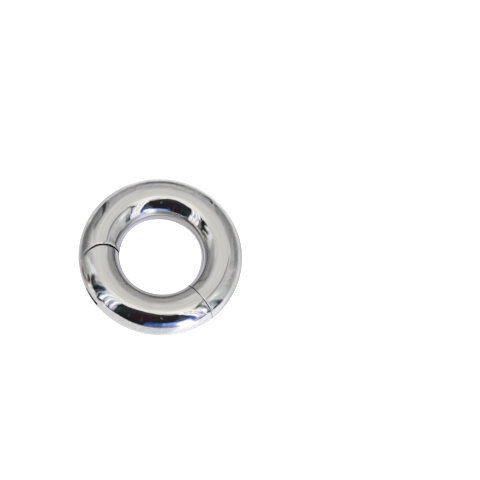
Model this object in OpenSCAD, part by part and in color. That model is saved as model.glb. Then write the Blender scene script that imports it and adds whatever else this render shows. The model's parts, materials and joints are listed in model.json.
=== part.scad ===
// Hinged hoop earring of round steel bar, lying on its side.
// The ring axis is +Z and goes through the origin. The bar touches the surface at z = 0.
// Angles are counted anticlockwise from +X, seen from above.

/* [Bar] */
// Thickness of the round bar
bar_d = 8; // [7:0.25:8.5]
// Opening of the ring, across its inside
inside_d = 16; // [15:0.5:20]

/* [Hinge joint] */
// Where the hinge pin stands on the ring
hinge_at = 204.8; // [200:0.1:210]
// Radius of the round joint about the pin
knuckle_r = 6; // [5.8:0.1:6.4]
// Width of the open joint line
hinge_gap = 0.18; // [0.1:0.01:0.3]
// Thickness of the tongue that reaches into the segment
tongue_t = 1.3; // [1:0.1:2]
// Play of the tongue on each side, in its slot
tongue_play = 0.05; // [0.03:0.01:0.1]
// Radius of the slot's floor about the pin
slot_r = 5.3; // [4.8:0.1:5.6]
// Thickness of the hinge pin
pin_d = 1.6; // [1.2:0.1:2]
// Play of the pin in the tongue, all round
pin_play = 0.03; // [0.02:0.01:0.08]

/* [Closing joint] */
// Where the flat closing joint stands on the ring
closing_at = 308.7; // [300:0.1:315]
// Width of the closed joint line
closing_gap = 0.07; // [0.05:0.01:0.15]
// Thickness of the catch peg
peg_d = 1.4; // [1:0.1:1.8]
// How far the peg stands out of the segment
peg_out = 1.2; // [0.8:0.1:1.4]
// How deep the peg sits in the segment
peg_in = 2.4; // [1.5:0.1:3]
// Play of the peg in its socket, all round
peg_play = 0.08; // [0.06:0.01:0.1]

/* [Hidden] */
$fn = 128;
steel = [0.79, 0.79, 0.78];
pin_steel = [0.66, 0.66, 0.65];

bar_r = bar_d / 2;
ring_r = (inside_d + bar_d) / 2;

// The tongue ends in a round that stands just inside the bar's own surface
tongue_end_r = bar_r - 0.1;
slot_t = tongue_t + 2 * tongue_play;

// The pin is pressed in from below and stops inside the upper cheek
pin_low = 0.3;
pin_top = bar_d - 1.4;
pin_bore_spare = 0.1;

// Length that reaches clear past the bar, for cutting shapes
past = 2 * bar_d;
// How far a drilling shape starts outside the face that it opens
through = 1;

// Middle of the closing joint as the pin sees it: the peg follows this swing
hinge_xy = ring_r * [cos(hinge_at), sin(hinge_at)];
closing_xy = ring_r * [cos(closing_at), sin(closing_at)];
swing = closing_xy - hinge_xy;
peg_turn = atan2(swing.y, swing.x) + 90;
// Bevel on the peg's end, and the room that its socket leaves past it
peg_lead = 0.25;
socket_spare = 0.3;

// Round bar bent about the ring axis, between two angles
module bar(from, to) {
    rotate_extrude(start = from, angle = to - from)
        translate([ring_r, bar_r])
            circle(r = bar_r);
}

// At the pin: X points out of the ring, Y along the bar towards the closing joint
module at_hinge() {
    rotate([0, 0, hinge_at])
        translate([ring_r, 0, bar_r])
            children();
}

// Flat plate in the ring's middle plane: a round about the pin, open towards the main arc
module hinge_plate(thickness, end_r, reach) {
    at_hinge()
        linear_extrude(thickness, center = true) {
            circle(r = end_r);
            intersection() {
                circle(r = reach);
                translate([-past, -past])
                    square([2 * past, past]);
            }
        }
}

// Everything on the main arc's side of the round joint
module beyond_knuckle(r) {
    at_hinge()
        difference() {
            translate([-past, -past, -past])
                cube([2 * past, past, 2 * past]);
            cylinder(r = r, h = 3 * past, center = true);
        }
}

// Thin saw cut of the closing joint
module closing_cut() {
    rotate([0, 0, closing_at])
        translate([ring_r - past / 2, -closing_gap / 2, bar_r - past / 2])
            cube([past, closing_gap, past]);
}

// On the middle of the closing joint: Z runs along the swing, out of the segment
module on_swing() {
    translate([closing_xy.x, closing_xy.y, bar_r])
        rotate([0, 0, peg_turn])
            rotate([0, 90, 0])
                children();
}

module tongue() {
    intersection() {
        bar(hinge_at - 38, hinge_at + 30);
        hinge_plate(tongue_t, tongue_end_r, knuckle_r + 1);
    }
}

module main_arc() {
    color(steel)
        difference() {
            union() {
                difference() {
                    bar(closing_at - 360, hinge_at);
                    at_hinge()
                        cylinder(r = knuckle_r + hinge_gap / 2, h = past, center = true);
                }
                tongue();
            }
            at_hinge()
                cylinder(d = pin_d + 2 * pin_play, h = past, center = true);
            closing_cut();
            on_swing()
                translate([0, 0, -through])
                    cylinder(d = peg_d + 2 * peg_play, h = through + peg_out + socket_spare);
        }
}

module segment() {
    color(steel)
        difference() {
            bar(hinge_at - 38, closing_at);
            beyond_knuckle(knuckle_r - hinge_gap / 2);
            hinge_plate(slot_t, slot_r, knuckle_r + 1);
            at_hinge()
                translate([0, 0, -bar_r - through])
                    cylinder(d = pin_d, h = through + pin_top + pin_bore_spare);
            closing_cut();
            on_swing()
                translate([0, 0, -peg_in])
                    cylinder(d = peg_d, h = peg_in + through);
        }
}

module hinge_pin() {
    color(pin_steel)
        at_hinge()
            translate([0, 0, pin_low - bar_r])
                cylinder(d = pin_d, h = pin_top - pin_low);
}

module catch_peg() {
    color(pin_steel)
        on_swing()
            rotate_extrude()
                polygon([
                    [0, -peg_in],
                    [peg_d / 2, -peg_in],
                    [peg_d / 2, peg_out - peg_lead],
                    [peg_d / 2 - peg_lead, peg_out],
                    [0, peg_out]
                ]);
}

main_arc();
segment();
hinge_pin();
catch_peg();
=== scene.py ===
"""A hinged hoop earring of mirror-polished steel, lying on a white table inside a light tent."""

import json
import math

import bmesh
import bpy
import numpy as np
from mathutils import Matrix, Vector


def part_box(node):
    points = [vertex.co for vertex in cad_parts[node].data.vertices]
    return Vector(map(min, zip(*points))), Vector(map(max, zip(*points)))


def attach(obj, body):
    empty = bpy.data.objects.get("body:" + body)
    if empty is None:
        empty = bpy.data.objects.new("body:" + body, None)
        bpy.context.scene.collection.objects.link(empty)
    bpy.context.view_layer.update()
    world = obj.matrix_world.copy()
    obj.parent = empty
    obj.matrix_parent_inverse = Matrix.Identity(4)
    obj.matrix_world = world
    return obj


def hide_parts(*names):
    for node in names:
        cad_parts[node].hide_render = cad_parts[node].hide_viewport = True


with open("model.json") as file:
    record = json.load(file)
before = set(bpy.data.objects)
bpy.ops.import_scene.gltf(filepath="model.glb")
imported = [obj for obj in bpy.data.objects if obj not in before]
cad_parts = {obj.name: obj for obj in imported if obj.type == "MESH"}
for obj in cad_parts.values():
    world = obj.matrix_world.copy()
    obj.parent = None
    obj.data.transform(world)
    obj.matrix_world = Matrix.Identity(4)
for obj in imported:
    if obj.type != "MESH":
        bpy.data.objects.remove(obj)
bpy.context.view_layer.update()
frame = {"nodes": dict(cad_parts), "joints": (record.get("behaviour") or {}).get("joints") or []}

MM = 0.001
TURN = 2 * math.pi

# Sizes of the ring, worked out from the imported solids
BAR_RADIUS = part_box("main_arc")[1].z / 2
PIN = Vector(frame["joints"][0]["pos_m"])
RING_RADIUS = math.hypot(PIN.x, PIN.y)
PIN_ANGLE = math.atan2(PIN.y, PIN.x) % TURN
PIN_RADIUS = (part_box("hinge_pin")[1].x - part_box("hinge_pin")[0].x) / 2
PIN_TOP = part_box("hinge_pin")[1].z

# Sizes of the two joints, as the solids have them
KNUCKLE_RADIUS = 6.0 * MM
HINGE_GAP = 0.18 * MM
CLOSING_ANGLE = math.radians(308.7)
CLOSING_GAP = 0.07 * MM
TONGUE_THICKNESS = 1.3 * MM
TONGUE_END_RADIUS = 3.9 * MM
TONGUE_BACK = math.radians(30)
TONGUE_ON = math.radians(38)
SLOT_THICKNESS = 1.4 * MM
SLOT_RADIUS = 5.3 * MM
PEG_RADIUS = 0.7 * MM
PEG_INSIDE = 2.4 * MM
SOCKET_RADIUS = 0.78 * MM
SOCKET_DEPTH = 1.5 * MM

# Finish of the joints: polishing has rounded their edges, and opened the lines a little inside the ring
HOLLOW_EDGE = 0.38 * MM
HOLLOW_EDGE_DEPTH = 0.105 * MM
KNUCKLE_EDGE = 0.16 * MM
KNUCKLE_EDGE_DEPTH = 0.045 * MM
EDGE_BEVEL = 1.6
HOLLOW_WORN = 0.07 * MM
HOLLOW_SHIFT = 0.3 * MM
HOLLOW_CLOSES = 0.07 * MM
CLOSING_EDGE = 0.05 * MM
CLOSING_SPLAY = 0.13 * MM

# A hair of room round a pressed-in pin
HAIR = 0.01 * MM

# Steps of the bar's mesh, and of the rounds that are cut out of it
AROUND = 96
CAP_STEPS = 10
EDGE_STEPS = 6
MAIN_ARC_STEPS = 170
SEGMENT_STEPS = 86
TONGUE_STEPS = 50
ROUND_STEPS = 48
SOCKET_STEPS = 40
PLATE_STEPS = 32
# Edges that turn less than this are shaded smooth
SMOOTH_BELOW = math.radians(35)

# Colour of the polished steel, darkest and lightest, and how much light it mirrors on the whole
STEEL_DARK = (0.52, 0.53, 0.52)
STEEL_LIGHT = (0.68, 0.665, 0.67)
STEEL_MEAN = 0.6

# The table, the tent's ball, and the wall inside the ring, whose foot and top are in millimetres
TABLE_RADIUS = 3.0
TENT_RADIUS = 0.9
TENT_COLUMNS = 720
TENT_ROWS = 361
WALL_RADIUS = 7.8 * MM
WALL_FOOT = 0.1
WALL_TOP = 33.0
WALL_COLUMNS = 240
WALL_ROWS = 111

# What the photograph gives for the camera
FRAME_PX = 480
RING_CENTRE_PX = (160.41, 256.69)
PX_PER_MM = 5.135
LEAN = math.radians(20.1)
LEAN_TOWARDS = math.radians(-99.1)
CAMERA_DISTANCE = 1.2


class Wire:
    """A number in a node tree. Sums and products of wires make its Math nodes."""

    def __init__(self, tree, socket):
        self.tree = tree
        self.socket = socket

    def math(self, operation, *others, clamp=False):
        made = self.tree.nodes.new("ShaderNodeMath")
        made.operation = operation
        made.use_clamp = clamp
        for socket, value in zip(made.inputs, (self,) + others):
            plug(self.tree, socket, value)
        return Wire(self.tree, made.outputs[0])

    def __add__(self, other):
        return self.math("ADD", other)

    def __sub__(self, other):
        return self.math("SUBTRACT", other)

    def __mul__(self, other):
        return self.math("MULTIPLY", other)

    def __truediv__(self, other):
        return self.math("DIVIDE", other)

    def ramp(self, start, length):
        """Goes from 0 to 1 while the wire goes from start to start + length."""
        return (self - start).math("DIVIDE", length, clamp=True)


def plug(tree, socket, value):
    """Links a wire or a socket to the socket, or sets its plain value."""
    if isinstance(value, Wire):
        value = value.socket
    if isinstance(value, bpy.types.NodeSocket):
        tree.links.new(value, socket)
    else:
        socket.default_value = value


def node(tree, kind, inputs=None, **settings):
    """A new node with its settings and its inputs, which are named or numbered."""
    made = tree.nodes.new(kind)
    for key, value in settings.items():
        setattr(made, key, value)
    for key, value in (inputs or {}).items():
        plug(tree, made.inputs[key], value)
    return made


def number(tree, kind, inputs, **settings):
    """A new node's output, as a wire."""
    return Wire(tree, node(tree, kind, inputs, **settings).outputs[0])


# The bent bar

BAR_SIZES = (
    "Ring radius", "Bar radius", "Pin angle", "Knuckle radius", "Knuckle reach", "Closing angle",
    "Closing gap", "Closing splay", "Knuckle closes", "Hinge edge", "Hinge edge depth", "Closing edge",
)
BAR_INPUTS = {
    **dict.fromkeys(BAR_SIZES, "NodeSocketFloat"),
    "Starts at the hinge": "NodeSocketBool",
    "Steps along": "NodeSocketInt",
    "Polish": "NodeSocketMaterial",
    "Joint finish": "NodeSocketMaterial",
}


def choose(tree, switch, if_false, if_true):
    options = {"Switch": switch, "False": if_false, "True": if_true}
    return number(tree, "GeometryNodeSwitch", options, input_type="FLOAT")


def bent_bar_tree():
    """A closed round bar, bent about the ring's axis, with a round hinge face and a flat closing face."""
    tree = bpy.data.node_groups.new("bent_round_bar", "GeometryNodeTree")
    for name, kind in BAR_INPUTS.items():
        tree.interface.new_socket(name, in_out="INPUT", socket_type=kind)
    tree.interface.new_socket("Geometry", in_out="OUTPUT", socket_type="NodeSocketGeometry")
    given = tree.nodes.new("NodeGroupInput").outputs
    size = {name: Wire(tree, given[name]) for name in BAR_INPUTS}
    ring, bar, long_steps = size["Ring radius"], size["Bar radius"], size["Steps along"]
    hinge_first = size["Starts at the hinge"]

    # The grid's long side goes over a cap, its rounded edge, the bar, the other edge and the other cap
    steps = long_steps + 2 * (CAP_STEPS + EDGE_STEPS)
    grid = node(tree, "GeometryNodeMeshGrid", {
        "Size X": 1.0, "Size Y": 1.0, "Vertices X": steps + 1, "Vertices Y": AROUND + 1,
    })
    place = node(tree, "ShaderNodeSeparateXYZ", {0: node(tree, "GeometryNodeInputPosition").outputs[0]})
    step = (Wire(tree, place.outputs[0]) + 0.5) * steps
    tube = (Wire(tree, place.outputs[1]) + 0.25) * TURN
    cap_in = step.ramp(0.0, CAP_STEPS)
    edge_in = step.ramp(CAP_STEPS, EDGE_STEPS) * (TURN / 4)
    on_bar = step.ramp(CAP_STEPS + EDGE_STEPS, long_steps)
    edge_out = (step - long_steps).ramp(CAP_STEPS + EDGE_STEPS, EDGE_STEPS) * (TURN / 4)
    rise_in, run_in = [edge_in.math(wave).math("POWER", EDGE_BEVEL) for wave in ("SINE", "COSINE")]
    run_out, rise_out = [edge_out.math(wave).math("POWER", EDGE_BEVEL) for wave in ("SINE", "COSINE")]
    cap_out = (step - long_steps).ramp(CAP_STEPS + 2 * EDGE_STEPS, CAP_STEPS)

    # Each edge is a worn bevel between the bar's surface and its end face
    first_edge = choose(tree, hinge_first, size["Closing edge"], size["Hinge edge"])
    first_depth = choose(tree, hinge_first, size["Closing edge"], size["Hinge edge depth"])
    last_edge = choose(tree, hinge_first, size["Hinge edge"], size["Closing edge"])
    last_depth = choose(tree, hinge_first, size["Hinge edge depth"], size["Closing edge"])
    rho = (bar - first_depth) * cap_in - (bar - last_depth) * cap_out
    rho = rho + first_depth * rise_in - last_depth * (rise_out * -1.0 + 1.0)
    reach = ring + rho * tube.math("COSINE")

    # Where each end face stands at this distance from the ring's axis
    outside = (reach - ring).ramp(bar * 0.6, bar * 0.4)
    knuckle, centre = size["Knuckle radius"] - outside * size["Knuckle closes"], size["Knuckle reach"]
    cosine = (reach * reach + centre * centre - knuckle * knuckle) / (centre * reach * 2.0)
    round_face = size["Pin angle"] - cosine.math("ARCCOSINE")
    inside = (ring - reach).ramp(bar * 0.1, bar * 0.9)
    kerf = size["Closing gap"] + size["Closing splay"] * inside
    half_kerf = (kerf / (reach * 2.0)).math("ARCSINE")
    first_face = choose(tree, hinge_first, size["Closing angle"] - TURN + half_kerf, round_face)
    last_face = choose(tree, hinge_first, round_face, size["Closing angle"] - half_kerf)
    start = first_face + first_edge * (run_in * -1.0 + 1.0) / reach
    end = last_face - last_edge * (run_out * -1.0 + 1.0) / reach
    angle = start + (end - start) * on_bar

    spot = node(tree, "ShaderNodeCombineXYZ", {
        "X": reach * angle.math("COSINE"),
        "Y": reach * angle.math("SINE"),
        "Z": bar + rho * tube.math("SINE"),
    })
    mapped = node(tree, "GeometryNodeStoreNamedAttribute", {
        0: grid.outputs["Mesh"], "Name": "UVMap", "Value": grid.outputs["UV Map"],
    }, data_type="FLOAT2", domain="CORNER")
    capped = node(tree, "GeometryNodeStoreNamedAttribute", {
        0: mapped.outputs[0], "Name": "cap", "Value": cap_in * -1.0 + cap_out + 1.0,
    }, data_type="FLOAT", domain="FACE")
    bent = node(tree, "GeometryNodeSetPosition", {0: capped.outputs[0], "Position": spot.outputs[0]})
    cap = number(tree, "GeometryNodeInputNamedAttribute", {"Name": "cap"}, data_type="FLOAT")
    on_cap = cap.math("GREATER_THAN", HAIR)
    closed = node(tree, "GeometryNodeMergeByDistance", {0: bent.outputs[0], "Distance": HAIR / 100})
    real = node(tree, "GeometryNodeRealizeInstances", {0: closed.outputs[0]})
    polished = node(tree, "GeometryNodeSetMaterial", {0: real.outputs[0], "Material": size["Polish"]})
    finished = node(tree, "GeometryNodeSetMaterial", {
        0: polished.outputs[0], "Selection": on_cap, "Material": size["Joint finish"],
    })
    tree.links.new(finished.outputs[0], tree.nodes.new("NodeGroupOutput").inputs[0])
    return tree


def plain_mesh(piece, name):
    """The piece as its modifiers leave it, in a new object without them."""
    bpy.context.view_layer.update()
    result = piece.evaluated_get(bpy.context.evaluated_depsgraph_get())
    mesh = bpy.data.meshes.new_from_object(result)
    mesh.name = name
    for slot in reversed(range(len(mesh.materials))):
        if mesh.materials[slot] is None:
            mesh.materials.pop(index=slot)
    bpy.data.objects.remove(piece)
    return placed(mesh, name)


def placed(mesh, name):
    made = bpy.data.objects.new(name, mesh)
    bpy.context.scene.collection.objects.link(made)
    return made


def mesh_of(bm, name, finish):
    mesh = bpy.data.meshes.new(name)
    bm.to_mesh(mesh)
    bm.free()
    mesh.materials.append(finish)
    return mesh


def rows_of(items, key, width, kind=np.float32):
    """So many values of each item, as the rows of an array."""
    found = np.zeros(len(items) * width, kind)
    items.foreach_get(key, found)
    return found.reshape(-1, width)


def bent_bar(tree, name, polish, joint_finish, **sizes):
    """One bar of the tree's kind, with its own sizes."""
    piece = placed(bpy.data.meshes.new(name), name)
    modifier = piece.modifiers.new("bend", "NODES")
    modifier.node_group = tree
    values = {
        "Ring radius": RING_RADIUS,
        "Bar radius": BAR_RADIUS,
        "Pin angle": PIN_ANGLE,
        "Knuckle reach": RING_RADIUS,
        "Closing angle": CLOSING_ANGLE,
        "Closing gap": CLOSING_GAP,
        "Closing splay": CLOSING_SPLAY,
        "Knuckle closes": 0.0,
        "Hinge edge": KNUCKLE_EDGE,
        "Hinge edge depth": KNUCKLE_EDGE_DEPTH,
        "Closing edge": CLOSING_EDGE,
        "Polish": polish,
        "Joint finish": joint_finish,
        **{key.replace("_", " ").capitalize(): value for key, value in sizes.items()},
    }
    for item in tree.interface.items_tree:
        if item.in_out == "INPUT":
            modifier[item.identifier] = values[item.name]
    return plain_mesh(piece, name)


# What is cut out of the bars and what is joined to them

def remember_normals(mesh, side):
    """Keeps the mesh's smooth normals on its corners, so that they outlast the cuts.
    side is 1, or -1 on a shape that cuts, whose faces are turned round by the cut."""
    mesh.shade_smooth()
    mesh.set_sharp_from_angle(angle=SMOOTH_BELOW)
    normals = rows_of(mesh.corner_normals, "vector", 3) * side
    kept = mesh.attributes.new("smooth_normal", "FLOAT_VECTOR", "CORNER")
    kept.data.foreach_set("vector", normals.ravel())


def prism(name, outline, low, high, finish, side, stance=Matrix()):
    """An upright prism over an outline of (x, y) points that go anticlockwise, put where stance says."""
    bm = bmesh.new()
    base = [bm.verts.new((x, y, low)) for x, y in outline]
    top = [bm.verts.new((x, y, high)) for x, y in outline]
    bm.faces.new(base[::-1])
    bm.faces.new(top)
    for a in range(len(outline)):
        b = (a + 1) % len(outline)
        bm.faces.new((base[a], base[b], top[b], top[a]))
    mesh = mesh_of(bm, name, finish)
    mesh.transform(stance)
    remember_normals(mesh, side)
    return placed(mesh, name)


def arc(radius, start, end, steps):
    angles = [start + (end - start) * step / steps for step in range(steps + 1)]
    return [(radius * math.cos(a), radius * math.sin(a)) for a in angles]


def at_hinge(points):
    """Points about the pin, with X out of the ring, in the ring's frame."""
    spots = [Matrix.Rotation(PIN_ANGLE, 2) @ Vector(point) for point in points]
    return [(PIN.x + spot.x, PIN.y + spot.y) for spot in spots]


def hinge_plate(name, thickness, end_radius, finish, side):
    """The flat plate of the tongue or of its slot: a round about the pin, open towards the main arc."""
    outline = arc(end_radius, 0, TURN / 2, ROUND_STEPS)
    outline += arc(KNUCKLE_RADIUS + MM, TURN / 2, TURN, PLATE_STEPS)
    return prism(name, at_hinge(outline), PIN.z - thickness / 2, PIN.z + thickness / 2, finish, side)


def pin_bore(name, radius, low, high, finish):
    return prism(name, at_hinge(arc(radius, 0, TURN, ROUND_STEPS)[:-1]), low, high, finish, -1)


def peg_bore(name, radius, depth_in, depth_out, finish):
    """A round bore along the closing joint's swing, from inside the segment to inside the main arc."""
    closing = Vector((math.cos(CLOSING_ANGLE), math.sin(CLOSING_ANGLE), 0)) * RING_RADIUS
    swing = closing - Vector((PIN.x, PIN.y, 0))
    stance = Matrix.Translation(closing + Vector((0, 0, BAR_RADIUS)))
    stance = stance @ Matrix.Rotation(math.atan2(swing.y, swing.x) + TURN / 4, 4, "Z")
    stance = stance @ Matrix.Rotation(TURN / 4, 4, "Y")
    outline = arc(radius, 0, TURN, SOCKET_STEPS)[:-1]
    return prism(name, outline, -depth_in, depth_out, finish, -1, stance)


def shaped(piece, name, *cuts):
    """The piece after each (operation, other shape), with the kept normals as its own."""
    for operation, other in cuts:
        modifier = piece.modifiers.new(operation.lower(), "BOOLEAN")
        modifier.operation = operation
        modifier.object = other
        modifier.solver = "EXACT"
        modifier.material_mode = "TRANSFER"
    piece = plain_mesh(piece, name)
    for _, other in cuts:
        bpy.data.objects.remove(other)
    return piece


def use_kept_normals(mesh):
    """Gives each corner the normal that it had before the cuts."""
    normals = rows_of(mesh.attributes["smooth_normal"].data, "vector", 3)
    sides = rows_of(mesh.polygons, "loop_total", 1, np.int32)[:, 0]
    flat = np.repeat(rows_of(mesh.polygon_normals, "vector", 3), sides, axis=0)
    lost = (normals * flat).sum(axis=1) < 0.5
    normals[lost] = flat[lost]
    normals /= np.linalg.norm(normals, axis=1)[:, None]
    mesh.attributes.remove(mesh.attributes["smooth_normal"])
    mesh.normals_split_custom_set(normals.tolist())


def main_arc_bar(tree, polish, joint_finish):
    """The large piece: its tongue reaches into the segment, and its closing face has the peg's socket."""
    bar = bent_bar(
        tree, "main_arc_bar", polish, joint_finish,
        knuckle_radius=KNUCKLE_RADIUS + HINGE_GAP / 2 + HOLLOW_WORN,
        knuckle_reach=RING_RADIUS - HOLLOW_SHIFT,
        knuckle_closes=HOLLOW_CLOSES, hinge_edge=HOLLOW_EDGE, hinge_edge_depth=HOLLOW_EDGE_DEPTH,
        starts_at_the_hinge=False, steps_along=MAIN_ARC_STEPS,
    )
    remember_normals(bar.data, 1)
    stock = bent_bar(
        tree, "tongue_stock", polish, joint_finish,
        bar_radius=BAR_RADIUS - 2 * HAIR, pin_angle=PIN_ANGLE + TONGUE_BACK, knuckle_radius=0.0,
        closing_angle=PIN_ANGLE + TURN - TONGUE_ON, starts_at_the_hinge=False, steps_along=TONGUE_STEPS,
    )
    remember_normals(stock.data, 1)
    plate = hinge_plate("tongue_plate", TONGUE_THICKNESS, TONGUE_END_RADIUS, joint_finish, 1)
    tongue = shaped(stock, "tongue", ("INTERSECT", plate))
    pin_way = pin_bore("pin_way", PIN_RADIUS + 3 * HAIR, -MM, 2 * BAR_RADIUS + MM, joint_finish)
    socket = peg_bore("peg_socket", SOCKET_RADIUS, MM, SOCKET_DEPTH, joint_finish)
    return shaped(bar, "main_arc_bar", ("UNION", tongue), ("DIFFERENCE", pin_way), ("DIFFERENCE", socket))


def segment_bar(tree, polish, joint_finish):
    """The piece that swings: slotted for the tongue, and bored for the hinge pin and the catch peg."""
    bar = bent_bar(
        tree, "segment_bar", polish, joint_finish,
        knuckle_radius=KNUCKLE_RADIUS - HINGE_GAP / 2, starts_at_the_hinge=True, steps_along=SEGMENT_STEPS,
    )
    remember_normals(bar.data, 1)
    slot = hinge_plate("tongue_slot", SLOT_THICKNESS, SLOT_RADIUS, joint_finish, -1)
    pin_seat = pin_bore("pin_seat", PIN_RADIUS + HAIR, -MM, PIN_TOP + 10 * HAIR, joint_finish)
    peg_seat = peg_bore("peg_seat", PEG_RADIUS + HAIR, PEG_INSIDE, MM, joint_finish)
    cuts = [("DIFFERENCE", cut) for cut in (slot, pin_seat, peg_seat)]
    return shaped(bar, "segment_bar", *cuts)


# Finishes

def shader_tree(name):
    finish = bpy.data.materials.new(name)
    finish.use_nodes = True
    finish.node_tree.nodes.clear()
    return finish, finish.node_tree


def shown(tree, shader):
    """The shader's result becomes the finish."""
    node(tree, "ShaderNodeOutputMaterial", {"Surface": shader.outputs[0]})


def glowing_tree(name):
    """The finish of a stage piece, which lights the steel only by being mirrored in it."""
    finish, tree = shader_tree(name)
    finish.cycles.emission_sampling = "NONE"
    return finish, tree


def grain(tree, coordinates, scale, detail=2.0, roughness=0.5, stretch=None, distortion=0.0):
    """Noise between about 0 and 1 at so many grains a metre, or a UV unit, stretched if wanted."""
    if stretch:
        coordinates = node(tree, "ShaderNodeMapping", {"Vector": coordinates, "Scale": stretch}).outputs[0]
    return number(tree, "ShaderNodeTexNoise", {
        "Vector": coordinates, "Scale": scale, "Detail": detail,
        "Roughness": roughness, "Distortion": distortion,
    })


def between(tree, factor, low, high):
    """A colour that goes from low to high with the factor."""
    mixed = node(tree, "ShaderNodeMix", data_type="RGBA")
    plug(tree, mixed.inputs[0], factor)
    for socket, colour in ((mixed.inputs[6], low), (mixed.inputs[7], high)):
        plug(tree, socket, colour if isinstance(colour, bpy.types.NodeSocket) else (*colour, 1))
    return mixed.outputs[2]


def metal(tree, colour, roughness, height, depth):
    """Bare metal whose colour, roughness and bump come from nodes."""
    bump = node(tree, "ShaderNodeBump", {"Height": height, "Distance": depth})
    bump.inputs["Strength"].default_value = 1.0
    surface = node(tree, "ShaderNodeBsdfPrincipled", {
        "Base Color": colour, "Metallic": 1.0, "Roughness": roughness, "Normal": bump.outputs[0],
    })
    shown(tree, surface)


def mirror_steel():
    """Polished stainless steel, with the mop's faint waves and fine lines along the bar, and smudges."""
    finish, tree = shader_tree("polished_steel")
    place = node(tree, "ShaderNodeTexCoord")
    solid, skin = place.outputs["Object"], place.outputs["UV"]
    cloudy = grain(tree, solid, 260.0, detail=3.0)
    smudge = grain(tree, solid, 620.0, detail=4.0, distortion=0.6).ramp(0.56, 0.18)
    peel = grain(tree, solid, 2300.0, detail=1.0)
    mop_waves = grain(tree, skin, 1.0, detail=2.0, roughness=0.6, stretch=(2.5, 34.0, 1.0)).ramp(0.25, 0.5)
    mop_lines = grain(tree, skin, 1.0, detail=3.0, roughness=0.7, stretch=(9.0, 110.0, 1.0)).ramp(0.3, 0.4)
    hairline = grain(tree, skin, 1.0, detail=1.0, stretch=(14.0, 420.0, 1.0)).ramp(0.70, 0.06)
    colour = between(tree, cloudy * 0.3 + mop_waves * 0.4 + mop_lines * 0.3, STEEL_DARK, STEEL_LIGHT)
    roughness = smudge * 0.05 + hairline * 0.08 + mop_lines * 0.02 + 0.02
    height = mop_waves * 0.004 + peel * 0.0014 + cloudy * 0.001 + (mop_lines + hairline) * 0.0002
    metal(tree, colour, roughness, height, MM)
    return finish


def joint_steel():
    """Milled steel inside the joints, where the mop does not reach: darker, with the cutter's lines."""
    finish, tree = shader_tree("milled_steel")
    solid = node(tree, "ShaderNodeTexCoord").outputs["Object"]
    cutter = grain(tree, solid, 900.0, detail=3.0, stretch=(1.0, 1.0, 6.0))
    grease = grain(tree, solid, 500.0, detail=3.0)
    colour = between(tree, grease, (0.10, 0.10, 0.10), (0.26, 0.255, 0.25))
    metal(tree, colour, cutter * 0.2 + 0.28, cutter, 0.02 * MM)
    return finish


def pin_steel():
    """Turned steel of the pin and the peg, with the lathe's rings and a worn gloss."""
    finish, tree = shader_tree("turned_steel")
    solid = node(tree, "ShaderNodeTexCoord").outputs["Object"]
    rings = grain(tree, solid, 1200.0, detail=2.0, stretch=(0.2, 0.2, 4.0))
    wear = grain(tree, solid, 700.0, detail=4.0)
    colour = between(tree, wear, (0.34, 0.34, 0.335), (0.44, 0.44, 0.43))
    metal(tree, colour, rings * 0.15 + wear * 0.1 + 0.15, rings, 0.01 * MM)
    return finish


# The light tent, which only the steel sees

def seen(tones):
    """The light that the polished steel shows as these tones of 0 to 255."""
    linear = ((np.asarray(tones, float) / 255 + 0.055) / 1.055) ** 2.4
    return linear / STEEL_MEAN


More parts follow.
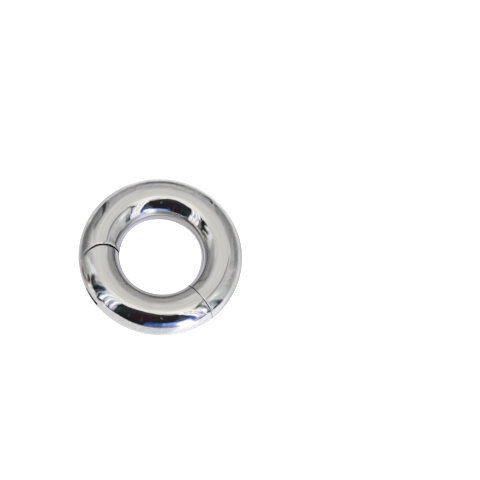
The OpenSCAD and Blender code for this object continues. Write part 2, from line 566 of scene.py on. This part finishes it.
class Tent:
    """A ball of tent cloth round the ring.
    Its light is laid on in soft panels, by azimuth and elevation in degrees."""

    def __init__(self):
        azimuths = np.arange(TENT_COLUMNS) * 360.0 / TENT_COLUMNS
        elevations = np.linspace(-90.0, 90.0, TENT_ROWS)
        self.azimuth, self.elevation = np.meshgrid(azimuths, elevations)
        self.tones = np.zeros(self.azimuth.shape + (3,))

    def lay(self, tone, weight):
        self.tones += (tone - self.tones) * weight[..., None]

    def cloth(self, keys):
        """The plain cloth: a tone at each of some elevations, from the nadir to the zenith."""
        heights = [height for height, _ in keys]
        for channel in range(3):
            tones = [np.broadcast_to(tone, 3)[channel] for _, tone in keys]
            self.tones[..., channel] = np.interp(self.elevation, heights, tones)

    def panel(self, left, right, low, high, tone, soft=2.0, ends=None, strength=1.0):
        """One panel. Its left, right and tone may each be given once, or from its low to its high end.
        soft is for both sides, or for the left and the right one.
        ends is for both ends, or for the low and the high one."""
        rise = np.clip((self.elevation - low) / (high - low), 0.0, 1.0)
        left, right = along(left, rise), along(right, rise)
        half = (right - left) / 2
        offset = (self.azimuth - left - half + 180.0) % 360.0 - 180.0
        soft_left, soft_right = np.broadcast_to(soft, 2)
        soft_low, soft_high = np.broadcast_to(soft if ends is None else ends, 2)
        side = fade(half + offset, soft_left) * fade(half - offset, soft_right)
        upright = fade(self.elevation - low, soft_low) * fade(high - self.elevation, soft_high)
        weight = side * upright * strength
        self.lay(blend(tone, rise), weight)

    def crease(self, points, width, tone, soft=2.0, strength=1.0):
        """A crease or a thin thing along a line of (azimuth, elevation) points.
        Its width and its tone may each be given once, or at each point."""
        nearest = np.full(self.azimuth.shape, 360.0)
        place = np.zeros(self.azimuth.shape)
        for step in range(len(points) - 1):
            (left, low), (right, high) = points[step], points[step + 1]
            squeeze = math.cos(math.radians((low + high) / 2))
            across = ((self.azimuth - left + 180.0) % 360.0 - 180.0) * squeeze
            up = self.elevation - low
            run, climb = (right - left) * squeeze, high - low
            part = np.clip((across * run + up * climb) / (run * run + climb * climb), 0.0, 1.0)
            distance = np.hypot(across - part * run, up - part * climb)
            closer = distance < nearest
            nearest = np.where(closer, distance, nearest)
            place = np.where(closer, step + part, place)
        place /= len(points) - 1
        weight = fade(along(width, place) / 2 - nearest, soft) * strength
        self.lay(blend(tone, place), weight)

    def wrinkle(self, depth, seed, tint):
        """Small folds all over the cloth, which change its light by about this part, and its tint."""
        dice = np.random.default_rng(seed)
        folds = np.zeros(self.tones.shape)
        for count in range(54):
            turns, rises = dice.integers(20, 150), dice.uniform(-12, 12)
            if count % 3 == 0:
                turns, rises = dice.integers(0, 4), dice.uniform(14, 60)
            wave = np.sin(np.radians(turns * self.azimuth + rises * self.elevation) + dice.uniform(0, TURN))
            turns, rises = dice.integers(1, 7), dice.uniform(1, 6)
            patch = np.sin(np.radians(turns * self.azimuth + rises * self.elevation))
            folds += (wave * (patch + 1) / 2)[..., None] * (1 + tint * dice.normal(size=3))
        upright = np.cos(np.radians(self.elevation))[..., None]
        self.tones *= 1 + folds / 3 * depth * upright

    def build(self):
        around = np.radians(self.azimuth)
        up = np.radians(self.elevation)
        flat = np.cos(up)
        spots = np.stack([flat * np.cos(around), flat * np.sin(around), np.sin(up)], axis=-1) * TENT_RADIUS
        spots += (0.0, 0.0, BAR_RADIUS)
        return self.sheet("light_tent", spots, lit_cloth())

    def sheet(self, name, spots, finish):
        """A round sheet through these spots, with the light on it. Only the steel sees it."""
        rows, columns = self.azimuth.shape
        corner = np.arange(rows * columns).reshape(rows, columns)
        here, beside = corner[:-1], np.roll(corner, -1, axis=1)[:-1]
        above, above_beside = corner[1:], np.roll(corner, -1, axis=1)[1:]
        faces = np.stack([here, above, above_beside, beside], axis=-1).reshape(-1, 4)
        mesh = bpy.data.meshes.new(name)
        mesh.from_pydata(spots.reshape(-1, 3).tolist(), [], faces.tolist())
        light = mesh.attributes.new("light", "FLOAT_VECTOR", "POINT")
        light.data.foreach_set("vector", seen(self.tones).astype(np.float32).ravel())
        mesh.materials.append(finish)
        made = placed(mesh, name)
        made.visible_camera = False
        made.visible_shadow = False
        return made


class InnerWall(Tent):
    """A thin upright wall just inside the ring, which shines only towards the ring's axis.
    It is clear but for its panels, which lie by azimuth and by height in millimetres."""

    def __init__(self):
        azimuths = np.arange(WALL_COLUMNS) * 360.0 / WALL_COLUMNS
        self.azimuth, self.elevation = np.meshgrid(azimuths, np.linspace(WALL_FOOT, WALL_TOP, WALL_ROWS))
        self.tones = np.zeros(self.azimuth.shape + (3,))
        self.cover = np.zeros(self.azimuth.shape)

    def lay(self, tone, weight):
        cover = weight + self.cover * (1 - weight)
        part = (weight / np.maximum(cover, 1e-6))[..., None]
        self.tones += (tone - self.tones) * part
        self.cover = cover

    def build(self):
        around = np.radians(self.azimuth)
        across, back = WALL_RADIUS * np.cos(around), WALL_RADIUS * np.sin(around)
        spots = np.stack([across, back, self.elevation * MM], axis=-1)
        wall = self.sheet("inner_wall", spots, lit_wall())
        cover = wall.data.attributes.new("cover", "FLOAT", "POINT")
        cover.data.foreach_set("value", self.cover.astype(np.float32).ravel())
        return wall


def along(edge, rise):
    """Where an edge is at this part of the height. It may be one number, or several from low to high."""
    return np.interp(rise, np.linspace(0, 1, len(edge)), edge) if np.ndim(edge) else edge


def blend(tone, rise):
    """The tone at this part of the way. It may be one tone, or several from the first end to the last.
    A tone is red, green and blue of 0 to 255, or one number for a grey."""
    tone = np.asarray(tone, float)
    if tone.ndim < 2:
        return tone
    return np.stack([along(tone[:, channel], rise) for channel in range(3)], axis=-1)


def fade(distance, soft):
    """0 outside and 1 inside, smoothly across an edge of this softness."""
    part = np.clip(distance / soft + 0.5, 0.0, 1.0)
    return part * part * (3 - 2 * part)


def lit_cloth():
    finish, tree = glowing_tree("lit_cloth")
    light = node(tree, "ShaderNodeAttribute", attribute_name="light")
    glow = node(tree, "ShaderNodeEmission", {"Color": light.outputs["Vector"]})
    shown(tree, glow)
    return finish


def lit_wall():
    finish, tree = glowing_tree("lit_wall")
    light = node(tree, "ShaderNodeAttribute", attribute_name="light")
    cover = Wire(tree, node(tree, "ShaderNodeAttribute", attribute_name="cover").outputs["Fac"])
    outside = Wire(tree, node(tree, "ShaderNodeNewGeometry").outputs["Backfacing"])
    glow = node(tree, "ShaderNodeEmission", {"Color": light.outputs["Vector"]})
    clear = node(tree, "ShaderNodeBsdfTransparent")
    factor = cover * (outside * -1.0 + 1.0)
    mixed = node(tree, "ShaderNodeMixShader", {0: factor, 1: clear.outputs[0], 2: glow.outputs[0]})
    shown(tree, mixed)
    return finish


def greys(*tones):
    return [(tone, tone, tone) for tone in tones]


def light_tent():
    tent = Tent()
    tent.cloth([
        (-90, 203), (-30, 208), (-22, 205), (-14, 192), (-8, 166), (0, 141), (10, 149), (22, 160),
        (34, 166), (46, (186, 185, 184)), (58, (199, 197, 195)), (70, (204, 202, 197)),
        (80, (207, 205, 199)), (90, (213, 212, 206)),
    ])
    tent.panel(5, 100, 58, 80, (198, 196, 191), soft=30, ends=14, strength=0.8)
    tent.panel(176, 346, 60, 96, ((226, 226, 219), (231, 231, 225)), soft=30, ends=18)
    tent.panel(292, 326, 56, 82, (239, 238, 234), soft=12)
    for part in (floor, walls, dark_corner, left_lamps, front, right_lamps):
        part(tent.panel, tent.crease)
    tent.wrinkle(0.028, 7, tint=0.4)
    tent.build()


def floor(panel, crease):
    """The cloth on the table: greyer behind the ring, and whiter where the window's light falls on it."""
    panel(-30, 185, -95, -40, 184, soft=40, ends=20)
    panel(95, 182, -60, -22, 186, soft=20, ends=10)
    panel(54, 104, -62, -24, 220, soft=16, ends=14)
    panel(20, 42, -56, -28, 172, soft=14, strength=0.7)
    panel(205, 288, -95, -7.5, (207, 206, 209), soft=14, ends=4)
    panel(284, 346, -95, -13, (228, 227, 233), soft=16, ends=6)
    panel(290, 322, -38, -13, (236, 236, 242), soft=12, ends=10)
    panel((286, 289), (312, 307), -56, -12, ((232, 233, 240), (253, 254, 258)), soft=7, ends=12)
    panel((163, 166), (186, 184), -44, -20, ((158, 152, 148), (172, 166, 162)), soft=6, ends=8)
    panel(150, 168, -48, -18, 150, soft=8, strength=0.6)
    crease([(172, -24), (174, -31), (172, -38)], 6, (112, 104, 98), soft=5)
    crease([(181, -22), (179, -30)], 4, (122, 114, 106), soft=4)


def walls(panel, crease):
    """The sides of the tent, from the back one to the left and to the right."""
    panel(57, 120, -8, 46, greys(152, 148, 158, 166, 174), soft=3, ends=8)
    crease([(59.4, -12), (60.6, -2), (62, 8)], 3, greys(90, 84, 118), soft=3)
    panel(75, 97, -4.5, 8, (105, 104, 103), soft=7, ends=5)
    crease([(58, 20), (75, 23), (95, 22), (116, 18)], 5, 170, soft=5)
    crease([(75, 26), (82, 19), (90, 17)], 8, 188, soft=8, strength=0.7)
    crease([(100, 44), (108, 56), (120, 60)], 8, 208, soft=8, strength=0.7)
    panel(119, 141, -12, 46, greys(124, 104, 124, 138, 150, 182), soft=3, ends=6)
    panel(139, 165, -28, 40, greys(152, 110, 106, 126, 168, 190), soft=8)
    panel(163, 180, -18, 34, ((138, 136, 134), (150, 150, 146), (186, 189, 182), (203, 204, 200)), soft=7,
          ends=10)
    crease([(125.5, 38), (124.7, 30), (123.6, 12), (122, -8)], (3, 3.6, 3, 4), greys(114, 64, 52, 50),
           soft=1.4)
    crease([(125, 35), (132, 34), (137, 26)], 5, 114, soft=5)
    panel(143, 154, 36, 54, 200, soft=9)
    panel(156, 166, 28, 46, 172, soft=6, ends=8, strength=0.7)
    panel((170, 166), (182, 176), 27, 52, 216, soft=6, ends=8)

    panel(8, 52, -8, 48, greys(154, 128, 134, 144, 162, 190), soft=8, ends=5)
    panel(12, 26, 20, 38, 166, soft=8)
    panel(335, 352, -14, 52,
          ((178, 177, 180), (180, 181, 181), (184, 187, 185), (200, 202, 201), (214, 216, 215)), soft=6,
          ends=5)
    panel(348, 370, -14, 50, greys(186, 156, 160, 178, 188, 178), soft=9, ends=5)
    panel(22, 34, 40, 50, 204, soft=9)
    panel(26, 44, 26, 42, 146, soft=8, strength=0.6)
    panel(334, 347, 41, 53, (224, 227, 226), soft=8, ends=7)
    crease([(334, 63), (346, 63), (359, 61), (372, 57), (384, 50)], (4, 6, 8, 8, 5),
           greys(176, 156, 144, 138, 156), soft=6)
    crease([(52.4, 36), (52, 30), (53, 24)], 2, 128, soft=1.8)
    crease([(55.6, 18), (56.7, 7), (58, -2)], (1.6, 3.4, 2), greys(150, 40, 100), soft=1.6)
    crease([(54.2, 8), (54, 1), (49, -2), (45, -4)], (2, 2.2, 1.4, 1.4), greys(110, 60, 112, 124), soft=1.4)
    crease([(53.4, 15), (51, 21), (48.4, 24.5)], 1.4, greys(104, 116, 128), soft=1.4)
    crease([(55.1, 22), (55.4, 10), (55.6, -6)], 0.8, 176, soft=0.9)


def dark_corner(panel, crease):
    """Dark cloth left of the lamps, its torn edge and the light that falls past it."""
    panel(183, 191, 34, 52, 168, soft=6, ends=8)
    crease([(185.4, 52), (190.4, 30)], 1.6, 118, soft=2.4, strength=0.7)
    crease([(182.6, 50), (187, 28)], 1.4, 206, strength=0.7)
    panel((193.5, 192.5, 192, 191.5, 191.5, 189), (199.4, 199.4, 199.2, 199, 198, 193.5), -5, 56,
          ((24, 25, 29), (26, 28, 32), (28, 33, 40), (34, 43, 54), (46, 58, 74), (96, 104, 116)), soft=3,
          ends=4)
    panel((187, 184, 182), (193, 192.5, 190), 2, 31, ((62, 64, 68), (80, 81, 82), (104, 105, 106)), soft=4,
          ends=9)
    crease([(181, 36), (184, 24), (188, 12), (191.5, 4)], (3, 4, 4, 4), greys(96, 50, 44, 36), soft=3.5)
    crease([(178, 22), (182.4, 11), (187, 1), (190, -9)], 2.6,
           ((196, 196, 190), (182, 182, 177), (176, 174, 170), (196, 194, 192)), soft=2.2)
    crease([(183.2, 4), (184.5, -3), (185.5, -10), (184, -20)], (4, 6, 4, 3),
           ((70, 66, 60), (64, 60, 54), (84, 79, 72), (120, 112, 106)), soft=4)
    crease([(197.6, 50), (198, 30), (197.4, 12), (196.8, -4)], 1.0,
           ((60, 74, 92), (86, 98, 110), (98, 101, 105)), soft=1.2)
    crease([(194, 56), (198, 49), (200.4, 40)], 1.4, (178, 190, 200), soft=1.2)
    crease([(196.3, -7), (194.5, -18), (191, -30), (186, -44)], (2.5, 3, 3, 3), greys(220, 232, 208, 190),
           soft=1.8)
    crease([(191, -8), (189.5, -16), (187, -26)], 2, 232, soft=1.8)


def left_lamps(panel, crease):
    """Three tubes of the left lamp, with the blue-grey gaps between them."""
    panel((202, 200.8, 194), (223.2, 221.4, 214.5), -5, 67,
          ((130, 136, 142), (150, 162, 176), (150, 160, 174), (198, 202, 208), (216, 216, 214)), soft=1.6,
          ends=5)
    panel((204.3, 204.2, 199.4), (208.2, 207, 202.6), -6, 66,
          ((236, 240, 244), (258, 264, 268), (236, 244, 250), (252, 250, 248)), soft=1.6, ends=5)
    crease([(207.2, 46), (209.6, 30), (210.2, 12), (210.4, 0)], 1, greys(244, 236, 206, 150), soft=1.0)
    panel((211.9, 211.2, 206.6), (213.8, 213.1, 208.8), -22, 68,
          ((224, 224, 222), (250, 244, 238), (262, 262, 262), (246, 246, 246), (232, 230, 226)), soft=1.2,
          ends=8)
    crease([(214.4, -2), (214.4, 14)], 1.4, (204, 208, 212), soft=1.4)
    panel((217.4, 216.6, 212), (220.2, 219.2, 215), -3, 67,
          ((216, 213, 220), (254, 250, 257), (250, 248, 256), (240, 240, 238)), soft=1.4, ends=6)
    panel((220.6, 219.6), (223.6, 221.6), -3, 44, ((150, 150, 166), (184, 180, 200), (150, 154, 170)),
          soft=1.2, ends=6)
    crease([(223.8, -3), (224.4, 14)], 2, (48, 48, 82), soft=1.6)
    crease([(200.2, 38), (200.3, 12), (200, -12)], 1.3,
           ((142, 154, 166), (132, 138, 144), (138, 140, 144)), soft=1.2)
    crease([(201.9, 24), (202.1, 8), (202.6, -8), (201.6, -22)], 1.6, greys(84, 36, 40, 96), soft=1.1)
    crease([(208.4, -3), (206.6, -8), (205, -13), (203, -22)], (2.6, 3.6, 4, 3), greys(40, 36, 52, 110),
           soft=2)
    crease([(209.4, 12), (209.6, 0), (208.8, -6)], 0.9, greys(104, 52, 44), soft=0.9)
    crease([(215.6, 14), (216, 3), (216.8, -5)], 0.8, greys(120, 78, 52), soft=0.8)
    crease([(214.6, -8), (219, -6), (223, -4)], (2, 4, 4), greys(104, 56, 44))


def front(panel, crease):
    """The open front of the tent: a dark room, with the window's blue light low in it."""
    panel((224, 222.5, 217.5), (306, 305, 298), -6, 63, ((25, 27, 29), (30, 30, 32), (39, 38, 39)),
          soft=1.6, ends=3.4)
    panel((216, 226, 241), (298, 285, 266), 60, 74.5, ((46, 45, 45), (64, 61, 58)), soft=3)
    panel(225, 234, 2, 60, ((26, 34, 36), (34, 50, 50), (34, 48, 48)), soft=7, ends=14, strength=0.8)
    panel(233, 241, 44, 66, (46, 38, 50), soft=5, ends=10, strength=0.8)
    panel(244, 266, 16, 48, (46, 28, 36), soft=14, ends=20, strength=0.7)
    crease([(212, -13.4), (219, -12), (227, -8.4), (238, -10)], (5, 5, 4, 2),
           ((218, 218, 220), (212, 212, 218), (206, 207, 210)), soft=2.6)
    crease([(210.8, -7), (217, -6.8), (225, -5.6)], (2.2, 3, 3), greys(70, 38, 32), soft=1.8)
    crease([(240, -7), (256, -9.4)], 3, 70, soft=3)
    crease([(225.4, 2), (225.6, 20), (224.6, 44)], 2.6, ((44, 52, 66), (62, 74, 88), (60, 70, 80)),
           soft=3.4, strength=0.7)
    crease([(237, 40), (238.5, 14)], 1, 60, soft=1.4)
    crease([(251.5, 44), (252, 12)], 1, (58, 56, 58), soft=1.4)
    crease([(273.9, 55), (274.4, 46)], 1.2, (112, 110, 114), soft=1.4)
    crease([(300, 53), (296.5, 40), (296, 27)], (4, 6, 5), (56, 68, 80), soft=5)
    crease([(285, 71), (292, 68.5), (297, 64)], 3.5, (172, 152, 150), soft=3.5)

    panel(288, 302, 17, 34, (94, 106, 128), soft=6, ends=8, strength=0.8)
    panel((254.5, 255.5, 260), (305, 303, 298), -11, 26,
          ((150, 156, 182), (84, 100, 144), (60, 86, 134), (56, 86, 134), (46, 62, 102), (34, 42, 68)),
          soft=4, ends=5)
    crease([(262.5, -8), (262, 6)], 3, (118, 118, 172), soft=3, strength=0.6)
    crease([(267, 3), (267.4, 16)], 2.4, (72, 124, 158), soft=2.5, strength=0.8)
    panel((279, 277, 275, 276), 306, -11, 22,
          ((178, 188, 214), (136, 152, 204), (130, 160, 216), (148, 182, 232), (120, 146, 200)),
          soft=(22, 4), ends=(8, 7))
    crease([(275.6, 3), (275.8, 19)], (4, 2.5), ((96, 136, 200), (150, 190, 240)), soft=3, strength=0.8)
    crease([(282.4, -10), (281.4, 3)], 2.6, (124, 124, 184), soft=3, strength=0.6)
    panel((293, 292.5, 292, 290.5, 288, 287, 291), (312, 309, 306.5, 305, 304, 302.5, 301), -36, 18,
          ((240, 240, 248), (258, 258, 264), (272, 272, 276), (276, 278, 284), (258, 266, 276),
           (238, 246, 256)), soft=(8, 4), ends=(16, 7))
    panel((304.4, 304, 303, 300.5), (308.6, 309, 308, 305), -6, 34,
          ((214, 218, 246), (122, 130, 208), (88, 96, 182), (82, 90, 150), (60, 66, 100)), soft=2.2,
          ends=7)


def right_lamps(panel, crease):
    """The right lamp, a thin post and what stands beyond them."""
    panel((309.6, 307.5, 299), (321.8, 321.4, 318), -9, 64,
          ((226, 225, 246), (242, 241, 250), (248, 247, 250), (246, 245, 245), (242, 241, 236)), soft=1.8,
          ends=5)
    crease([(310.8, -10), (310.4, 6)], 1.6, (120, 122, 196), soft=1.4)
    crease([(310, -9), (313.5, -7), (317, -4.4)], (3, 4.4, 4),
           ((150, 148, 210), (74, 66, 130), (60, 56, 100)), soft=2.4)
    panel((311.6, 309.4, 306, 299), (313.4, 311.6, 309, 304), 0, 64, greys(240, 262, 268, 250), soft=1.4,
          ends=8)
    crease([(315, -3), (314.9, 9), (314.8, 19), (314, 30), (311.8, 44)], (1.8, 1.8, 2.2, 1.6, 1.2),
           ((206, 202, 232), (210, 206, 234), (132, 124, 200), (196, 190, 210), (222, 217, 213)), soft=1.3)
    crease([(312.8, -2), (311.4, 28), (306, 56)], 0.9, ((150, 146, 186), (166, 162, 184), (188, 184, 186)),
           soft=0.9)
    crease([(317, -4), (316.6, 28), (312.4, 54)], 0.8, ((158, 154, 180), (176, 170, 180), (200, 196, 196)),
           soft=0.9)
    panel((317.9, 317.9, 315.5), (320, 320.8, 319), -7, 50, greys(236, 252, 240), soft=1.4, ends=8)
    crease([(321, -5), (321.9, 5), (322.8, 24), (324, 38), (326, 54)], (1.4, 2.6, 1.5, 1.5, 2.4),
           ((92, 86, 90), (20, 20, 24), (92, 88, 92), (112, 110, 112), (122, 120, 120)), soft=1.2)
    crease([(325.4, -18), (325.8, 3), (326, 14), (327, 34)], 2.4,
           ((218, 216, 220), (240, 243, 250), (236, 240, 248), (182, 190, 202)), soft=1.8)
    crease([(328, 2), (327.8, 20), (329, 34), (331.5, 46)], 3.4,
           ((176, 188, 202), (170, 184, 200), (146, 160, 172), (188, 198, 202)), soft=2.2)
    crease([(328.2, -5), (330.8, -7.4)], 6, (14, 16, 22), soft=3)
    for row in range(3):
        for count in range(9):
            azimuth, elevation = 305 + 2 * count + 0.7 * row, 61 - 5 * row - 0.5 * count
            tone = ((252, 252, 250), (146, 118, 128), (206, 184, 156))[(row + count) % 3]
            crease([(azimuth, elevation), (azimuth + 0.3, elevation - 1.2)], 0.9, tone, soft=0.9)
    panel((332.8, 332.2, 331, 330.6), (339, 337, 334.8, 334), -15, 36,
          ((106, 108, 116), (60, 74, 80), (76, 94, 98), (124, 137, 143), (150, 158, 162)), soft=3, ends=6)
    crease([(333.6, -4), (333.8, 4)], 2.2, (30, 46, 50))
    panel(337, 342, 2, 26, (184, 190, 187), soft=4, ends=10)
    crease([(321.5, 54), (326, 58.5), (331, 62), (338, 65), (347, 68)], (1.8, 2.8, 2.8, 3, 3),
           greys(130, 72, 104, 136, 164), soft=2.6)
    crease([(320.8, 0), (322, 4.6)], 4, 16, soft=2.4)
    crease([(325.8, 58.4), (328.6, 57.2)], 3, 4, soft=1.4)
    crease([(321.3, 59.6), (321.7, 58.4)], 1.3, (112, 104, 96), soft=1)
    crease([(323.2, 64.8), (323.8, 63.8)], 1.3, (124, 116, 106), soft=1)


# The table, the background and the camera

def disc(name, radius, finish):
    bm = bmesh.new()
    bmesh.ops.create_circle(bm, cap_ends=True, radius=radius, segments=96)
    return placed(mesh_of(bm, name, finish), name)


def table():
    """The white table, which only the camera sees."""
    finish, tree = glowing_tree("white_table")
    solid = node(tree, "ShaderNodeTexCoord").outputs["Object"]
    paper = between(tree, grain(tree, solid, 40.0), (0.97, 0.97, 0.97), (1.0, 1.0, 1.0))
    surface = node(tree, "ShaderNodeBsdfPrincipled", {
        "Base Color": paper, "Roughness": 0.7, "Emission Color": paper, "Emission Strength": 0.85,
    })
    shown(tree, surface)
    top = disc("white_table", TABLE_RADIUS, finish)
    top.visible_glossy = False


def wedge(across, back, towards, start, rise, half, soft):
    """1 on the part of the table that lies in this direction from the ring's axis, and 0 on the rest.
    The direction is in degrees. Its start, its half width and their soft edges are in millimetres."""
    turn = math.radians(towards)
    onward = across * math.cos(turn) + back * math.sin(turn)
    aside = (back * math.cos(turn) - across * math.sin(turn)).math("ABSOLUTE")
    return onward.ramp(start * MM, rise * MM) * (aside.ramp(half * MM, soft * MM) * -1.0 + 1.0)


def shade_in_the_ring():
    """The table inside the ring, which the ring keeps some light from. Only the steel sees it."""
    finish, tree = glowing_tree("shaded_table")
    place = node(tree, "ShaderNodeSeparateXYZ", {0: node(tree, "ShaderNodeTexCoord").outputs["Object"]})
    across, back = Wire(tree, place.outputs[0]), Wire(tree, place.outputs[1])
    reach = (across * across + back * back).math("SQRT")
    # Painted shade: darker towards the bar's foot, and dimmer towards the front of the ring
    colour = between(tree, reach.ramp(5.5 * MM, 5.5 * MM), seen((178, 177, 175)), seen((112, 111, 112)))
    front_to_back = back.ramp(-7 * MM, 10 * MM) * 0.36 + 0.64
    off_the_foot = reach.ramp(5.2 * MM, 1.4 * MM) * -1.0 + 1.0
    # Painted light towards 118 degrees, where the window's light falls, and a paler patch towards 36
    # degrees; painted shade towards 47 and 156 degrees
    for towards, start, rise, half, soft, within, part, tone in (
        (118, 1, 5, 1.2, 3, 1.0, 0.75, (196, 198, 220)),
        (47, -5, 3, 0.3, 1.5, off_the_foot, 0.65, (106, 104, 104)),
        (36, 4.8, 2.4, 1.6, 2.4, 1.0, 0.8, (206, 204, 210)),
        (156, 2, 3, 0.6, 2.2, 1.0, 0.6, (134, 132, 133)),
    ):
        lit = wedge(across, back, towards, start, rise, half, soft) * within * part
        colour = between(tree, lit, colour, seen(tone))
    # Painted light of the window towards -38 degrees, which also lifts the dim front
    window = wedge(across, back, -38, 0, 4, 1.2, 2.8)
    colour = between(tree, window, colour, seen((218, 219, 230)))
    strength = front_to_back + window * (front_to_back * -1.0 + 1.0)
    glow = node(tree, "ShaderNodeEmission", {"Color": colour, "Strength": strength})
    shown(tree, glow)
    shade = disc("shade_in_the_ring", RING_RADIUS, finish)
    shade.visible_camera = False
    shade.visible_shadow = False


def inner_wall():
    """The window's light on the front of the ring's inside, and the darker and paler parts beside it."""
    # The wall is no real thing: its panels are painted reflections, painted light and painted shade, which
    # the ring's inside mirrors
    wall = InnerWall()
    panel, crease = wall.panel, wall.crease
    panel(136, 160, 3.6, 9.4, (112, 110, 109), soft=12, ends=3, strength=0.8)
    panel(160, 190, 3.4, 7.6, (158, 157, 150), soft=12, ends=2, strength=0.6)
    olive = (
        (132, 131, 125), (147, 146, 140), (138, 137, 132), (145, 144, 139),
        (136, 135, 131), (150, 149, 145), (162, 161, 158),
    )
    panel(42, 136, 9.6, 21, olive, soft=30, ends=(3, 7), strength=0.62)
    panel(76, 90, 10, 20, (150, 149, 143), soft=12, ends=6, strength=0.4)
    panel(104, 118, 12, 20, (132, 131, 126), soft=10, ends=6, strength=0.5)
    panel(60, 130, 4, 7.4, (94, 92, 88), soft=20, ends=2, strength=0.6)
    panel(6, 30, 1.6, 5.6, (94, 94, 96), soft=10, ends=2, strength=0.6)
    panel(8, 24, 7, 10, (182, 182, 182), soft=8, ends=1.6, strength=0.6)
    panel(338, 368, 4, 7.8, (178, 178, 180), soft=8, ends=1.6, strength=0.7)
    panel(38, 56, 5.4, 9.6, (86, 84, 82), soft=8, ends=2, strength=0.6)
    panel(60, 88, -2, 1.5, (186, 184, 184), soft=10, ends=2, strength=0.5)
    crease([(182, 19), (182, 12)], 7, (124, 119, 116), soft=5)
    crease([(168, 31), (171, 25), (175, 18)], (3, 7, 8), greys(34, 26, 34), soft=3)
    crease([(171, 24), (161, 26.5), (151, 28.5)], (8, 6, 3), greys(24, 34, 80), soft=3)
    crease([(166, 20.6), (158, 23), (146, 24.6)], (1.6, 3, 3), greys(170, 226, 236))
    crease([(175, 16), (169, 16), (161, 16.8), (155, 18.2)], (5, 5.4, 4.4, 2.4), greys(34, 36, 52, 110),
           soft=2.6)
    crease([(172, 11.6), (163, 13.8), (150, 15)], 2.6, greys(150, 190, 202), soft=2.2)
    crease([(175, 8.6), (166, 9.4), (156, 11.6)], 2.4, ((90, 88, 84), (84, 82, 74), (104, 102, 96)))
    crease([(190, 5.6), (176, 5.6), (160, 4.6)], 1.6, ((186, 188, 176), (172, 173, 160), (152, 152, 140)),
           soft=1.6)
    crease([(192, 2.2), (178, 1.8), (166, 0.8)], 2, ((78, 74, 62), (86, 84, 70), (116, 115, 106)), soft=1.6)
    panel(187, 216, -2, 3.5, (82, 77, 71), soft=10, ends=1.2, strength=0.9)
    panel((192, 190, 189), (211, 213, 211, 209), 5.4, 17,
          ((210, 204, 197), (231, 227, 221), (240, 237, 234), (242, 241, 240)), soft=(4, 3), ends=(1.6, 3))
    panel((193, 192), (195, 194), 11.6, 17, (178, 172, 170))
    panel((202.5, 200.5), (204.5, 202.5), 7, 17, (200, 196, 192))
    panel(213.5, 221, 5, 10, (100, 104, 108), soft=4, ends=2.4, strength=0.8)
    panel(228, 270, 0, 4, (124, 125, 137), soft=14, ends=2, strength=0.8)
    panel(262, 296, 10.8, 16, (30, 32, 46), soft=10, ends=1.6)
    panel(262, 296, 6, 9.6, ((150, 172, 214), (156, 186, 226)), soft=14, ends=2, strength=0.8)
    panel(274, 292, 0, 5, (150, 158, 180), soft=12, ends=2, strength=0.7)
    panel(290, 326, -2, 4, ((206, 208, 226), (214, 216, 232)), soft=18, ends=2)
    panel(288, 309, 3, 11, ((216, 218, 234), (246, 250, 254), (248, 252, 255)), soft=12, ends=2)
    panel(309, 336, 3, 8.6, ((200, 199, 212), (216, 216, 224)), soft=10, ends=2, strength=0.8)
    panel(324, 352, -2, 5.6, ((160, 160, 176), (152, 152, 166), (172, 173, 178)), soft=12, ends=2,
          strength=0.6)
    panel((320, 326), (342, 344), 7.2, 17, ((226, 225, 232), (238, 237, 242), (240, 240, 245)), soft=5,
          ends=(1.8, 3))
    panel((344.6, 344.6), (351.4, 350), 7.4, 17,
          ((62, 65, 71), (64, 69, 75), (98, 103, 110), (112, 114, 118)), soft=(2.6, 4), ends=(1.2, 3))
    wall.wrinkle(0.03, 5, tint=0.3)
    wall.build()


def background():
    world = bpy.data.worlds.new("white_background")
    world.use_nodes = True
    world.node_tree.nodes["Background"].inputs["Color"].default_value = (1.0, 1.0, 1.0, 1.0)
    bpy.context.scene.world = world


def camera():
    """A long lens, leaning from the ring's axis and with the ring off the middle, as in the photograph."""
    flat = math.sin(LEAN)
    away = Vector((flat * math.cos(LEAN_TOWARDS), flat * math.sin(LEAN_TOWARDS), math.cos(LEAN)))
    lean = Vector((0, 0, 1)).rotation_difference(away)
    right = lean @ Vector((1, 0, 0))
    up = lean @ Vector((0, 1, 0))
    centre = Vector((0, 0, BAR_RADIUS))
    pixel = MM / PX_PER_MM
    shift_right = (FRAME_PX / 2 - RING_CENTRE_PX[0]) * pixel
    shift_up = (RING_CENTRE_PX[1] - FRAME_PX / 2) * pixel
    eye = centre + away * CAMERA_DISTANCE
    back = (eye - centre - right * shift_right - up * shift_up).normalized()
    side = up.cross(back).normalized()
    lens = bpy.data.cameras.new("camera")
    lens.sensor_width = 36.0
    lens.lens = lens.sensor_width * CAMERA_DISTANCE / (FRAME_PX * pixel)
    lens.clip_start = 0.01
    made = bpy.data.objects.new("camera", lens)
    turned = Matrix((side, back.cross(side), back)).transposed()
    made.matrix_world = Matrix.Translation(eye) @ turned.to_4x4()
    bpy.context.scene.collection.objects.link(made)
    bpy.context.scene.camera = made


def main():
    bpy.context.scene.view_settings.view_transform = "Standard"
    camera()
    background()
    table()
    shade_in_the_ring()
    inner_wall()
    light_tent()

    polish, milled, turned = mirror_steel(), joint_steel(), pin_steel()
    tree = bent_bar_tree()
    for build, stands_for, body in ((main_arc_bar, "main_arc", "main"), (segment_bar, "segment", "swing")):
        bar = build(tree, polish, milled)
        use_kept_normals(bar.data)
        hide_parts(stands_for)
        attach(bar, body)
    for name in ("hinge_pin", "catch_peg"):
        frame["nodes"][name].data.materials.clear()
        frame["nodes"][name].data.materials.append(turned)


main()
bpy.context.view_layer.update()
